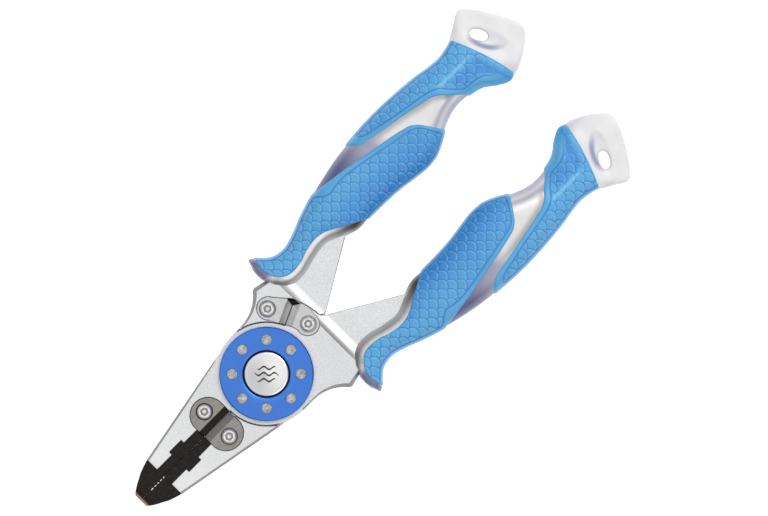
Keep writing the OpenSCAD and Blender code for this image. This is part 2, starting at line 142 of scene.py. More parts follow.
# tail to flare: outer edge x y, inner edge x y, half thickness
STATIONS = np.array([
    [-115.3, 33.2, -122.3, 11.2, 5.6], [-113, 32.5, -119.5, 10.5, 6.3],
    [-110.5, 32, -116, 12.1, 6.9], [-108, 31.75, -112, 15, 7.3],
    [-104.5, 32.1, -107.5, 16.25, 7.7], [-99, 33, -101, 16.4, 8.1],
    [-94, 33.5, -95.2, 14.5, 8.4], [-90, 33.8, -90.5, 11.9, 8.5],
    [-86.5, 34, -86.7, 10.2, 8.6], [-82, 34.1, -82, 9.6, 8.6],
    [-77, 34, -77, 10.1, 8.6], [-71, 33.6, -71, 10.95, 8.5],
    [-64, 32.85, -64, 11.35, 8.4], [-58, 31.75, -58, 11.4, 8.1],
    [-52.5, 30.5, -52.5, 11.2, 7.9], [-47, 29.05, -47.5, 12.8, 7.7],
    [-42, 27.4, -42.5, 14.8, 7.4], [-36.5, 25.2, -37, 14.3, 7.2],
    [-31, 24, -31.2, 12.9, 7.2], [-27, 25, -27.3, 12.8, 7.3],
    [-24.2, 27.5, -24.6, 13.6, 7.5], [-22.5, 29.4, -22.9, 14.5, 7.6],
    [-20.8, 29.5, -21.4, 16.2, 7.3], [-19.95, 27.2, -20.1, 20.2, 6.6]])
MID = (STATIONS[:, 0:2] + STATIONS[:, 2:4]) / 2
ALONG = run_along(MID)
# where the straight end of the blue starts, at the outer edge, and the way to its other end
END = np.array([-115.3, 33.2])
END_X, END_Y = 7.0, 22.0
# the thickest faces flatten out at this half thickness, over this much
FACE, FACE_GIVE = 8.0, 0.3
# faces draw back from a section's side with this power: 1 is an ellipse, less is squarer
SQUARE = 0.8

REAR_EDGE = smooth_line([
    (-106.6, 16.2), (-106.0, 17.2), (-104.7, 18.6), (-102.7, 20.5), (-100.5, 22.8), (-98, 24.3),
    (-95, 25), (-90, 26.1), (-85, 27.1), (-80, 28), (-75, 29), (-72.5, 29.6), (-71, 30.4),
    (-69.5, 31.8), (-68, 33.4), (-67.2, 34.4)])
REAR_PANEL = np.vstack([[(-106.6, 6), (-106.8, 12)], REAR_EDGE,
                        [(-66, 38), (-100, 42), (-130, 42), (-132, 6)]])
FRONT_EDGE = smooth_line([
    (-94.9, 13.0), (-94.2, 14.2), (-93, 16), (-91, 19), (-89, 21.6), (-87, 23.1), (-84, 24),
    (-80, 24.9), (-75, 25.8), (-70, 26.8), (-65, 27.8), (-60, 28.6), (-55, 29.4), (-51.2, 30),
    (-49, 30.6)])
COLLAR_EDGE = smooth_line([
    (-23.2, 30.6), (-23, 28.5), (-22.3, 25.5), (-22.1, 23.5), (-22.3, 22), (-23, 20.2),
    (-24.3, 18.5), (-26, 17.1), (-28, 16.5), (-30, 16.5), (-32, 16.8), (-34, 17.3), (-36, 18.1),
    (-38, 18.5), (-40, 18.8), (-42, 18.7), (-44, 18.3), (-46, 17.4), (-48, 16.3), (-50, 15),
    (-52, 14), (-55, 12.3), (-56.4, 11.6), (-57.4, 10.6)])
FRONT_PANEL = np.vstack([[(-96, 8)], FRONT_EDGE, [(-49, 40), (-23.4, 40)], COLLAR_EDGE,
                         [(-58, 8)]])
REAR_GROOVE = np.vstack([[(-119, 6)], smooth_line([
    (-118.3, 12.5), (-117.5, 14.2), (-116, 16), (-114.5, 17.5), (-112, 18.4), (-109.5, 18.65),
    (-107.6, 18.8), (-106.3, 19.7), (-104.2, 22.0), (-102, 24.5), (-100, 25.8), (-98, 26.4),
    (-90, 27.9), (-85, 28.8), (-80, 29.9), (-76, 30.7), (-74, 31.3), (-73, 32.4),
    (-73.2, 33.4)]), [(-75, 42), (-140, 42), (-140, 6)]])
FRONT_GROOVE = np.vstack([[(-93.2, 6)], smooth_line([
    (-93, 12), (-92.3, 14), (-91, 16.5), (-89.5, 19), (-88, 20.8), (-86, 21.8), (-83, 22.5),
    (-80, 23), (-75, 24), (-70, 25), (-65, 25.9), (-61, 26.5), (-57, 26.35), (-54, 25.9),
    (-52, 26.8), (-50, 28.3), (-48.5, 28.7)]), [(-47, 40), (-10, 40), (-10, 6)]])


def behind(x, y):
    """How far a point lies past the straight end of the blue, towards the tab."""
    return -((x - END[0]) * END_Y - (y - END[1]) * END_X) / math.hypot(END_X, END_Y)


def down_end(x, y):
    """How far along the straight end of the blue a point lies, from its outer edge."""
    return -((x - END[0]) * END_X + (y - END[1]) * END_Y) / math.hypot(END_X, END_Y)


def around(fine, edge):
    """Places round a section: across the face at an even spacing in plan, then round each side."""
    reach = 0.94
    turn = math.degrees(math.acos(reach ** (1 / SQUARE)))
    across = np.linspace(reach, -reach, fine + 1)
    top = np.degrees(np.arccos(np.sign(across) * np.abs(across) ** (1 / SQUARE)))
    side = np.linspace(180 - turn, 180 + turn, edge + 2)[1:-1]
    return np.radians(np.concatenate([top, side, 360 - top[::-1], side - 180 + 360]))


def grip_surface(steps, fine, edge):
    """Points and normals of the whole grip, and how far across its section each point is, 1 to -1."""
    s = curve_through(ALONG, STATIONS, np.linspace(0, ALONG[-1], steps + 1))
    t = around(fine, edge)
    q = np.sign(np.cos(t)) * np.abs(np.cos(t)) ** SQUARE
    w = np.sign(np.sin(t)) * np.abs(np.sin(t)) ** SQUARE
    x = (s[:, 0:1] + s[:, 2:3]) / 2 + q * (s[:, 0:1] - s[:, 2:3]) / 2
    y = (s[:, 1:2] + s[:, 3:4]) / 2 + q * (s[:, 1:2] - s[:, 3:4]) / 2
    z = s[:, 4:5] * w
    # the tail edge bows outwards
    from_tail = np.linspace(0, ALONG[-1], steps + 1)[:, None]
    x = x - 0.7 * (1 - q ** 2) * np.exp(-from_tail / 3)
    # a thumb-width scoop inside the tail, under a soft ridge
    run = ease(-100.5, -106, x)
    below = np.clip(25.4 - y, 0, 12)
    lip = ease(0.2, 4.6, -behind(x, y))
    z = z - np.sign(z) * run * lip * 1.25 * (1 - np.exp(-below / 3.2)) * ease(1.0, 4.5, np.abs(z))
    over = np.abs(z) - FACE
    z = np.sign(z) * np.where(over > 0, FACE + FACE_GIVE * np.tanh(over / FACE_GIVE), np.abs(z))
    p = np.stack([x, y, z], -1)
    du = np.gradient(p, axis=0)
    dv = (np.roll(p, -1, 1) - np.roll(p, 1, 1)) / 2
    n = np.cross(du, dv)
    n /= np.linalg.norm(n, axis=-1, keepdims=True) + 1e-12
    # the first column runs along the outer edge, which faces +Y
    if n[:, 0, 1].sum() < 0:
        n = -n
    return p, n, q[None, :] * np.ones((steps + 1, 1))


def silhouette():
    s = curve_through(ALONG, STATIONS, np.linspace(0, ALONG[-1], 240))
    outer, inner = s[:, 0:2], s[::-1, 2:4]
    # left open past the tail, where the clear tab carries on
    return np.vstack([outer[:1] + [-20, 8], outer, inner, inner[-1:] + [-20, 4]])


SILHOUETTE = silhouette()
# the scales' spacing along and across the grip, and each one's radius
PITCH_X, PITCH_Y, SCALE_R = 4.285, 4.26, 2.17


def discs_near(x, y, origin):
    """Every scale near each point: its centre's x, then the point's x offset and distance from it."""
    u, v = (x - origin[0]) / PITCH_X, (y - origin[1]) / PITCH_Y
    for half in (0.0, 0.5):
        iu, iv = np.round(u - half), np.round(v - half)
        for di in (-1, 0, 1):
            for dj in (-1, 0, 1):
                cx = origin[0] + (iu + di + half) * PITCH_X
                cy = origin[1] + (iv + dj + half) * PITCH_Y
                yield cx, x - cx, np.hypot(x - cx, y - cy)


def fish_scales(x, y, origin):
    """Height from 0 at a scale's free edge down to -1, and how near a point is to a free edge."""
    best_cx = np.full(x.shape, -1e9)
    high = np.full(x.shape, -1.0)
    rim = np.full(x.shape, 9.0)
    for cx, dx, r in discs_near(x, y, origin):
        over = (r < SCALE_R) & (cx > best_cx + 0.01)
        best_cx = np.where(over, cx, best_cx)
        high = np.where(over, -(dx + SCALE_R) / (2 * SCALE_R), high)
    # the nearest free edge is the left half of any disc at or right of the one on top
    for cx, dx, r in discs_near(x, y, origin):
        usable = (dx < 0.35) & (cx > best_cx - 0.01)
        d = np.where(usable, r - SCALE_R, 9.0)
        rim = np.where(np.abs(d) < np.abs(rim), d, rim)
    return high, rim


def relief(x, y, groove_outline, origin, edge_in, upright):
    """Height of the scales and grooves on a panel, with how much painted shade and how much painted
    highlight each point gets.
    """
    g = np.minimum(depth_inside(x, y, groove_outline), edge_in - 1.0)
    high, rim = fish_scales(x, y, origin)
    # the scales melt away in the thumb scoop and along the ridge above it
    scoop = ease(-111.5, -116, x) * ease(22.5, 18.5, y)
    ridge = np.exp(-((y - 25) / 0.9) ** 2) * ease(-99.5, -103, x) * ease(-117, -110, x)
    inside = ease(0.05, 0.35, g) * (1 - 0.6 * scoop) * (1 - 0.75 * ridge)
    line = np.exp(-(g / 0.2) ** 2) * (1 - ease(-114.5, -117.5, x) * (y < 23))
    cut = np.exp(-((rim - 0.08) / 0.14) ** 2)
    lift = np.exp(-((rim + 0.27) / 0.20) ** 2)
    scales = 0.34 * high - 0.16 * cut + 0.07 * lift
    fade = ease(0.12, 0.42, upright)
    height = (inside * scales - 0.26 * line) * fade + 0.22 * ridge
    # painted shade in the free-edge cuts and the border groove; painted highlight on the raised rims
    # and along the ridge
    dark = np.clip(inside * cut * 0.9 + line, 0, 1) * fade
    light = np.clip(inside * lift + 1.6 * ridge, 0, 1.6) * fade
    return height, dark, light


def skin(name, side, panel, groove, origin, steps, fine, edge):
    """A blue sleeve: the part of the grip's surface inside its panel, with a rolled border."""
    p, n, q = grip_surface(steps, fine, edge)
    x, y = p[..., 0], p[..., 1]
    from_tail = np.linspace(0, ALONG[-1], steps + 1)[:, None]
    s = np.minimum(depth_inside(x, y, panel), from_tail + 0.05)
    edge_in = depth_inside(x, y, SILHOUETTE)
    up = np.abs(n[..., 2])
    bump, dark, light = relief(x, y, groove, origin, edge_in, up)
    # the border's rounding radius
    r = 0.9
    inner = np.clip(s, 0, r)
    roll = np.where(s > 0, -r + np.sqrt(np.maximum(r * r - (r - inner) ** 2, 0)), -r + 2.2 * s)
    height = roll + bump * ease(0.5, 1.0, s)
    p = p + n * height[..., None]
    keep = s > -0.35
    rows, cols = keep.shape
    index = np.arange(rows * cols).reshape(rows, cols)
    quads = quads_round(index)
    k = keep.ravel()
    quads = quads[k[quads].all(1)]
    used = np.unique(quads)
    renumber = np.full(rows * cols, -1)
    renumber[used] = np.arange(len(used))
    ob = make_mesh(name, p.reshape(-1, 3)[used], renumber[quads].tolist(), side)
    flip_outwards(ob)
    # painted shade in the grooves, and painted highlight on the rims and the ridge
    point_value(ob, "groove", dark.ravel()[used])
    point_value(ob, "rim", light.ravel()[used])
    # painted shade: darker towards the grip's inner side, and in the thumb scoop
    painted_inner_shade = ease(0.25, -0.75, q) * ease(-94, -84, x) * ease(-34, -46, x)
    painted_inner_shade = painted_inner_shade * ease(0.1, 0.5, np.minimum(depth_inside(x, y, groove), edge_in - 1.0))
    scoop = ease(-103, -108, x) * ease(25.5, 22.5, y) * ease(0.5, 2.2, -behind(x, y))
    painted_inner_shade = np.maximum(painted_inner_shade, 0.75 * scoop * ease(0.1, 1.5, depth_inside(x, y, groove)))
    point_value(ob, "painted_inner_shade", painted_inner_shade.ravel()[used])
    return ob


def flip_outwards(ob):
    """Turn a piece's faces over if they face into it, by how those above and below the pivot face."""
    me = ob.data
    c = np.zeros(len(me.polygons) * 3)
    nn = np.zeros(len(me.polygons) * 3)
    me.polygons.foreach_get("center", c)
    me.polygons.foreach_get("normal", nn)
    c, nn = c.reshape(-1, 3), nn.reshape(-1, 3)
    if (nn[:, 2] * np.sign(c[:, 2] - PIVOT[2])).sum() < 0:
        me.flip_normals()


def core(name, side, steps=240, fine=56, edge=14):
    """The grip's silver and smoky base, lower than the sleeves, and lower still under them."""
    p, n, _ = grip_surface(steps, fine, edge)
    x, y = p[..., 0], p[..., 1]
    s = np.maximum(depth_inside(x, y, REAR_PANEL), depth_inside(x, y, FRONT_PANEL))
    edge_in = depth_inside(x, y, SILHOUETTE)
    # the band's colour runs on a little way under the panels
    band = (s < 1.2) & (x < -40) & ((x < -58) | (y > 24))
    # the inlay turns smoky along the inner edge
    lip = band & (x < -92)
    crease = y - np.interp(x, [-107, -104, -98, -93, -90], [18.8, 19.8, 19.4, 17.8, 16.0])
    height = -0.45 - 0.85 * ease(0.9, 1.7, s)
    p = p + n * height[..., None]
    lav = ease(-81, -74, x) * band
    deep = (0.25 * ease(-80, -74, x) + 0.75 * ease(-73, -60, x)) * band
    rimmed = np.where(lip, ease(2.4, 0.6, crease), 0) * ease(5.0, 3.0, edge_in)
    lav = np.maximum(lav, rimmed)
    # a painted highlight along the ridge by the inner edge, near the tail
    painted_ridge_highlight = rimmed * np.exp(-((edge_in - 2.1) / 0.9) ** 2)
    flare = ease(-24.2, -22.6, x) * ease(19.2, 22, y)
    lav = np.maximum(lav, flare)
    deep = np.maximum(deep, 0.75 * flare)
    collar = (~band) & (y < 22) & (x > -60)
    shade = np.maximum(ease(-43, -53, x), 0.45 * ease(-25.8, -23.5, x) * ease(20, 18, y)) * collar
    # a brown shadow beside the rear panel
    beside = depth_inside(x, y, REAR_PANEL)
    shade = np.maximum(shade, 0.5 * ease(-2.4, -0.2, beside) * band * ease(-66, -78, x))
    rows, cols = x.shape
    # rounded nose beyond the last section
    end = p[-1]
    centre = end.mean(0)
    rings = [end]
    for k, out in ((0.86, 0.28), (0.6, 0.45), (0.3, 0.52)):
        rings.append(centre + (end - centre) * k + np.array([out, 0, 0]))
    extra = np.vstack(rings[1:])
    verts = np.vstack([p.reshape(-1, 3), extra, [centre + [0.54, 0, 0]], [p[0].mean(0)]])
    index = np.arange((rows + 3) * cols).reshape(rows + 3, cols)
    faces = quads_round(index).tolist()
    tip, tail = (rows + 3) * cols, (rows + 3) * cols + 1
    last = index[-1]
    faces += [[last[j], tip, last[(j + 1) % cols]] for j in range(cols)]
    faces += [[index[0][(j + 1) % cols], tail, index[0][j]] for j in range(cols)]
    ob = make_mesh(name, verts, faces, side)
    flip_outwards(ob)

    def with_ends(values, nose):
        return np.concatenate([values.ravel(), np.full(3 * cols + 1, nose), [0]])

    point_value(ob, "smoke", with_ends(lav, 1))
    point_value(ob, "deep", with_ends(deep, 0.75))
    point_value(ob, "shade", with_ends(shade, 0))
    point_value(ob, "bright", with_ends(band * 1.0, 0))
    point_value(ob, "painted_ridge_highlight", with_ends(painted_ridge_highlight, 0))
    return ob


# ---------------------------------------------------------------- end tabs

def tab_outline(n):
    """Closed outline of the clear tab, run a little way into the grip along its straight side."""
    free = smooth_line([
        (-115.3, 33.4), (-117.9, 35.05), (-119.75, 36.2), (-121.5, 37.35), (-122.5, 37.85),
        (-123.35, 38.05), (-124.15, 37.85), (-125.3, 37.0), (-126.41, 35.85), (-128.08, 33.65),
        (-129.84, 31.0), (-131.19, 28.65), (-132.45, 26.3), (-133.34, 24.5), (-134.29, 22.3),
        (-134.68, 20.95), (-134.67, 19.75), (-134.2, 18.61), (-133.4, 17.67), (-131.66, 16.0),
        (-129.78, 14.5), (-127.68, 13.18), (-125.32, 11.98), (-123.9, 11.5), (-122.35, 11.1)])
    line = np.vstack([[(-113.7, 32.2)], free, [(-120.4, 11.6), (-118.5, 17), (-116.6, 23),
                                               (-115.0, 28), (-113.7, 32.2)]])
    along = run_along(line)
    at = np.linspace(0, along[-1], n, endpoint=False)
    return np.stack([np.interp(at, along, line[:, 0]), np.interp(at, along, line[:, 1])], 1)


# the lanyard eye and the shallow dish round it: middle, then half length and half width
EYE = np.array([-122.65, 27.85])
EYE_HALF = (3.0, 1.8)
DISH = (-123.6, 25.7)
DISH_HALF = (7.6, 3.7)
EYE_TURN = math.radians(62)
# the tab's own half thickness, away from the grip
TAB_HALF = 3.35


def in_eye_axes(x, y, cx, cy):
    c, s = math.cos(EYE_TURN), math.sin(EYE_TURN)
    return (x - cx) * c + (y - cy) * s, -(x - cx) * s + (y - cy) * c


def eye_ring(n):
    t = np.linspace(0, 2 * math.pi, n, endpoint=False)
    a = EYE_HALF[0] * np.sign(np.cos(t)) * np.abs(np.cos(t)) ** 0.9
    b = EYE_HALF[1] * np.sign(np.sin(t)) * np.abs(np.sin(t)) ** 0.9
    c, s = math.cos(EYE_TURN), math.sin(EYE_TURN)
    return np.stack([EYE[0] + a * c - b * s, EYE[1] + a * s + b * c], 1)


def end_thickness(x, y):
    """Half thickness of the grip's tail end beside each point of the tab."""
    p = grip_surface(400, 60, 6)[0][0]
    top = p[p[:, 2] > 0]
    down = down_end(top[:, 0], top[:, 1])
    order = np.argsort(down)
    return np.interp(down_end(x, y), down[order], top[order, 2])


def spoke_slant(ring, outer):
    """How far the spokes from a ring round the eye out to the outline are from running straight."""
    return (((ring - EYE) * 4 + EYE - outer) ** 2).sum()


def tab(name, side, n=240, radial=44):
    """The frosted clear end, as rings from its lanyard eye out to its rounded rim."""
    outer = tab_outline(n)
    ring = eye_ring(n)
    # turn the inner ring, or its mirror image, so that each spoke runs the straightest way
    turned = [np.roll(r, k, 0) for r in (ring, ring[::-1]) for k in range(n)]
    inner = min(turned, key=lambda r: spoke_slant(r, outer))
    t = np.linspace(0, 1, radial + 1)
    xy = inner[None] * (1 - t[:, None, None]) + outer[None] * t[:, None, None]
    x, y = xy[..., 0], xy[..., 1]
    d_out = np.maximum(depth_inside(x, y, outer), 0)
    d_out[-1] = 0
    e1, e2 = in_eye_axes(x, y, *EYE)
    d_eye = np.maximum(np.hypot(e1 / EYE_HALF[0], e2 / EYE_HALF[1]) - 1, 0) * 2.2
    d_eye[0] = 0
    back = behind(x, y)
    end_half = end_thickness(x, y) - 0.5
    half = TAB_HALF + (end_half - TAB_HALF) * np.exp(-(np.maximum(back, 0) / 3.4) ** 1.4)
    half = np.where(back < 0, end_half - 0.5 * ease(0, -1.0, back), half)
    h1, h2 = in_eye_axes(x, y, *DISH)
    bowl = np.clip(1 - (h1 / DISH_HALF[0]) ** 2 - (h2 / DISH_HALF[1]) ** 2, 0, 1)
    # steep beside the grip, fading out towards the tail
    half = half - 1.2 * ease(0, 0.75, bowl) * ease(3.6, -0.8, h2)
    r = 1.3
    roll = np.sqrt(np.maximum(1 - (1 - np.clip(d_out / r, 0, 1)) ** 2, 0)) ** 0.7
    soft = 0.55
    eye_roll = np.sqrt(np.maximum(1 - (1 - np.clip(d_eye / soft, 0, 1)) ** 2, 0))
    z = half * roll - 0.5 * (1 - eye_roll)
    z = np.maximum(z, 0.02)
    z[-1] = 0.0
    top = np.stack([x, y, z], -1)
    low = np.stack([x, y, -z], -1)[:-1][::-1]
    wall_steps = 5
    z0 = z[0]
    wall = [np.stack([x[0], y[0], -z0 + 2 * z0 * (k / wall_steps)], -1)
            for k in range(1, wall_steps)]
    loop = np.concatenate([top, low, np.array(wall)], 0)
    rows = loop.shape[0]
    index = np.arange(rows * n).reshape(rows, n)
    faces = quads_round(np.vstack([index, index[:1]])).tolist()
    ob = make_mesh(name, loop.reshape(-1, 3), faces, side)
    flip_outwards(ob)
    lx, ly = loop[..., 0], loop[..., 1]
    back = behind(lx, ly)
    h1, h2 = in_eye_axes(lx, ly, *DISH)
    out = np.hypot(h1 / DISH_HALF[0], h2 / DISH_HALF[1])
    # painted shade on one wall of the dish, and the grip's blue showing through the clear tab near
    # the grip, painted in
    cast = np.exp(-((out - 0.76) / 0.24) ** 2) * ease(0.2, -1.8, h2) * ease(-6.5, -2.0, h1)
    cast = cast * ease(6.8, 2.0, h1)
    near = np.exp(-np.maximum(back, 0) / 2.6) * ease(30, 18, ly)
    tint = np.clip(0.85 * cast + 0.30 * near, 0, 1)
    point_value(ob, "tint", tint)
    return ob


# ---------------------------------------------------------------- materials

class Paint:
    """A material's nodes, with short names for the ones used here."""

    def __init__(self, name):
        self.mat = bpy.data.materials.new(name)
        self.mat.use_nodes = True
        self.nt = self.mat.node_tree
        self.nt.nodes.clear()
        self.out = self.nt.nodes.new("ShaderNodeOutputMaterial")
        self.bsdf = self.nt.nodes.new("ShaderNodeBsdfPrincipled")
        self.link(self.bsdf.outputs[0], self.out.inputs[0])

    def link(self, a, b):
        self.nt.links.new(a, b)

    def put(self, socket, value):
        if isinstance(value, bpy.types.NodeSocket):
            self.link(value, socket)
        elif isinstance(value, (tuple, list)) and len(value) == 3 and len(socket.default_value) == 4:
            socket.default_value = (*value, 1)
        else:
            socket.default_value = value

    def set(self, **values):
        for name, value in values.items():
            self.put(self.bsdf.inputs[name.replace("_", " ")], value)

    def coords(self):
        return self.nt.nodes.new("ShaderNodeTexCoord").outputs["Object"]

    def stretched(self, scale, turn=0.0):
        m = self.nt.nodes.new("ShaderNodeMapping")
        self.link(self.coords(), m.inputs["Vector"])
        m.inputs["Scale"].default_value = scale
        m.inputs["Rotation"].default_value = (0, 0, turn)
        return m.outputs[0]

    def noise(self, scale, detail=3.0, rough=0.55, vector=None):
        n = self.nt.nodes.new("ShaderNodeTexNoise")
        self.link(vector or self.coords(), n.inputs["Vector"])
        n.inputs["Scale"].default_value = scale
        n.inputs["Detail"].default_value = detail
        n.inputs["Roughness"].default_value = rough
        return n.outputs["Fac"]

    def value(self, name):
        n = self.nt.nodes.new("ShaderNodeAttribute")
        n.attribute_name = name
        return n.outputs["Fac"]

    def math(self, op, a, b=0.0, c=0.0):
        n = self.nt.nodes.new("ShaderNodeMath")
        n.operation = op
        for i, v in enumerate((a, b, c)):
            self.put(n.inputs[i], v)
        return n.outputs[0]

    def span(self, v, lo, hi, to_lo=0.0, to_hi=1.0):
        n = self.nt.nodes.new("ShaderNodeMapRange")
        n.interpolation_type = "SMOOTHSTEP"
        for i, w in enumerate((v, lo, hi, to_lo, to_hi)):
            self.put(n.inputs[i], w)
        return n.outputs[0]

    def mix(self, fac, a, b):
        n = self.nt.nodes.new("ShaderNodeMix")
        n.data_type = "RGBA"
        self.put(n.inputs[0], fac)
        self.put(n.inputs[6], a)
        self.put(n.inputs[7], b)
        return n.outputs[2]

    def bump(self, height, distance, strength):
        n = self.nt.nodes.new("ShaderNodeBump")
        n.inputs["Strength"].default_value = strength
        n.inputs["Distance"].default_value = distance
        self.link(height, n.inputs["Height"])
        return n.outputs[0]

    def xyz(self):
        n = self.nt.nodes.new("ShaderNodeSeparateXYZ")
        self.link(self.coords(), n.inputs[0])
        return n.outputs

    def within(self, v, lo, hi):
        return self.math("MULTIPLY", self.math("GREATER_THAN", v, lo), self.math("LESS_THAN", v, hi))

    def slot_side(self, x, y):
        """Above zero on lever a's side of the line where the two cutters of a pair meet."""
        front = self.math("SUBTRACT", y, PIVOT[1])
        # behind the pivot the line leans: lever a's cutter is on its clockwise side
        dx = self.math("SUBTRACT", x, PIVOT[0])
        rear = self.math("ADD", self.math("MULTIPLY", dx, -0.4075),
                         self.math("MULTIPLY", front, 0.9132))
        ahead = self.math("GREATER_THAN", dx, 0.0)
        back = self.math("MULTIPLY", self.math("SUBTRACT", 1.0, ahead),
                         self.math("MULTIPLY", rear, -1.0))
        return self.math("MULTIPLY_ADD", ahead, front, back)

    def from_pivot(self):
        """Distance and angle about the pivot axis, in metres and radians."""
        m = self.nt.nodes.new("ShaderNodeVectorMath")
        m.operation = "SUBTRACT"
        self.link(self.coords(), m.inputs[0])
        m.inputs[1].default_value = tuple(PIVOT)
        s = self.nt.nodes.new("ShaderNodeSeparateXYZ")
        self.link(m.outputs[0], s.inputs[0])
        xx = self.math("MULTIPLY", s.outputs[0], s.outputs[0])
        yy = self.math("MULTIPLY", s.outputs[1], s.outputs[1])
        r = self.math("SQRT", self.math("ADD", xx, yy))
        a = self.math("ARCTAN2", s.outputs[1], s.outputs[0])
        return r, a


def blasted_alloy():
    p = Paint("lever_alloy_blasted")
    grain = p.noise(2600, 2, 0.6)
    cloud = p.noise(70, 3)
    base = p.mix(p.span(grain, 0.3, 0.7), (0.55, 0.555, 0.56), (0.69, 0.695, 0.70))
    base = p.mix(p.span(cloud, 0.35, 0.7, 0, 0.25), base, (0.60, 0.605, 0.62))
    x, y, z = p.xyz()
    # painted light: the jaws grow lighter towards the tip
    base = p.mix(p.span(x, PIVOT[0] + 0.012, PIVOT[0] + 0.046, 0, 0.45), base, (0.86, 0.86, 0.865))
    # the wide chamfers on the jaw and shoulder are darker: partly their machined finish, partly
    # painted shade
    wide = p.span(p.value("chamfer"), 0.2, 0.45)
    base = p.mix(p.math("MULTIPLY", wide, 0.85), base, (0.25, 0.25, 0.25))
    # the notch behind the rear cutters is too deep for light to reach
    notch = p.math("MULTIPLY", p.within(x, PIVOT[0] - 0.0229, PIVOT[0] - 0.0203),
                   p.within(y, PIVOT[1] - 0.0125, PIVOT[1] - 0.0068))
    notch = p.math("MULTIPLY", notch, p.within(z, PIVOT[2] - 0.0052, PIVOT[2] + 0.0052))
    base = p.mix(notch, base, (0.004, 0.004, 0.004))
    # the cove behind the shoulder is milled smooth, with its grain mostly gone; the whole cove is a
    # little darker, and its steep side is darker still, as painted shade
    cove = p.math("MULTIPLY", p.within(x, PIVOT[0] - 0.0278, PIVOT[0] - 0.02262),
                  p.within(z, PIVOT[2] + 0.00351, PIVOT[2] + 0.00549))
    steep = p.math("MULTIPLY", cove, p.span(x, PIVOT[0] - 0.0262, PIVOT[0] - 0.0236))
    base = p.mix(p.math("MULTIPLY", cove, 0.5), base, (0.50, 0.50, 0.50))
    base = p.mix(p.math("MULTIPLY", steep, 0.5), base, (0.24, 0.24, 0.24))
    height = p.math("MULTIPLY", grain, p.math("MULTIPLY_ADD", cove, -0.9, 1.0))
    p.set(Base_Color=base, Metallic=p.span(notch, 0, 1, 0.85, 0.0),
          Roughness=p.span(cloud, 0.3, 0.7, 0.40, 0.50), Normal=p.bump(height, 0.00005, 0.55))
    return p.mat


def anodised_blue():
    p = Paint("ring_blue_anodised")
    turned = p.noise(2600, 2, 0.5)
    base = p.mix(p.span(turned, 0.3, 0.7), (0.054, 0.175, 0.58), (0.066, 0.205, 0.65))
    p.set(Base_Color=base, Metallic=0.9, Roughness=0.36, Normal=p.bump(turned, 0.00002, 0.4))
    return p.mat


def turned_steel():
    p = Paint("bright_steel_turned")
    r, a = p.from_pivot()
    rings = p.nt.nodes.new("ShaderNodeTexNoise")
    rings.noise_dimensions = "1D"
    p.link(r, rings.inputs["W"])
    rings.inputs["Scale"].default_value = 9000
    rings.inputs["Detail"].default_value = 2
    lines = rings.outputs["Fac"]
    # a painted sheen: lighter and darker by angle round the pivot
    painted_sheen = p.math("MULTIPLY_ADD", p.noise(250, 2), 0.35, p.math("COSINE", p.math("ADD", a, 0.4)))
    base = p.mix(p.span(painted_sheen, -1.0, 1.3), (0.90, 0.895, 0.89), (0.58, 0.57, 0.57))
    base = p.mix(p.span(lines, 0.35, 0.65, 0, 0.25), base, (0.50, 0.50, 0.50))
    p.set(Base_Color=base, Metallic=0.95, Roughness=0.28, Normal=p.bump(lines, 0.00001, 0.5))
    return p.mat


def brushed_plate():
    p = Paint("plate_steel_brushed")
    long = p.noise(1.0, 3, 0.6, p.stretched((700, 7000, 700), 0.9))
    cloud = p.noise(420, 3)
    base = p.mix(p.span(long, 0.32, 0.68), (0.22, 0.215, 0.21), (0.76, 0.755, 0.74))
    base = p.mix(p.span(cloud, 0.45, 0.7, 0, 0.55), base, (0.24, 0.235, 0.23))
    # painted shade where the plate runs in under the cap
    r = p.from_pivot()[0]
    base = p.mix(p.span(r, 0.0074, 0.0077, 1, 0), base, (0.012, 0.014, 0.03))
    p.set(Base_Color=base, Metallic=0.9, Roughness=0.34, Normal=p.bump(long, 0.00003, 0.5))
    return p.mat


def ground_steel(name, lo, hi, rough, turn, land_a, land_b):
    """Ground cutter steel, with painted light and shade on the sloping lands: each lever's lands get
    their own tone, set apart from the flat top.
    """
    p = Paint(name)
    lines = p.noise(1.0, 2, 0.6, p.stretched((600, 9000, 2500), turn))
    spots = p.noise(500, 3)
    x, y, z = p.xyz()
    base = p.mix(p.span(lines, 0.3, 0.7), lo, hi)
    base = p.mix(p.span(spots, 0.55, 0.75, 0, 0.3), base, lo)
    # painted light and shade on the lands: lever a's and lever b's lands each get their own tone
    land = p.mix(p.span(p.slot_side(x, y), -0.00002, 0.00002), land_b, land_a)
    low = p.span(z, PIVOT[2] + 0.00538, PIVOT[2] + 0.00546, 1, 0)
    base = p.mix(low, base, p.mix(p.span(lines, 0.2, 0.8, 0.75, 1.0), (0, 0, 0), land))
    # painted shade: the edge chamfers are drawn near black, as the dark gap round each cutter
    base = p.mix(p.span(p.value("chamfer"), 0.0, 0.03, 0, 0.9), base, (0.05, 0.05, 0.05))
    p.set(Base_Color=base, Metallic=0.9, Roughness=p.span(spots, 0.3, 0.7, rough, rough + 0.1),
          Normal=p.bump(lines, 0.00002, 0.5))
    return p.mat


def black_tip():
    p = Paint("tip_black_coated")
    spots = p.noise(900, 4, 0.6)
    nose = p.span(p.xyz()[0], PIVOT[0] + 0.0551, PIVOT[0] + 0.0557)
    base = p.mix(p.span(spots, 0.4, 0.8), (0.010, 0.0085, 0.008), (0.022, 0.019, 0.017))
    base = p.mix(nose, base, (0.33, 0.23, 0.12))
    p.set(Base_Color=base, Metallic=0.0, Roughness=p.span(spots, 0.3, 0.8, 0.40, 0.55),
          Normal=p.bump(spots, 0.00003, 0.4))
    p.bsdf.inputs["Specular IOR Level"].default_value = 0.12
    return p.mat


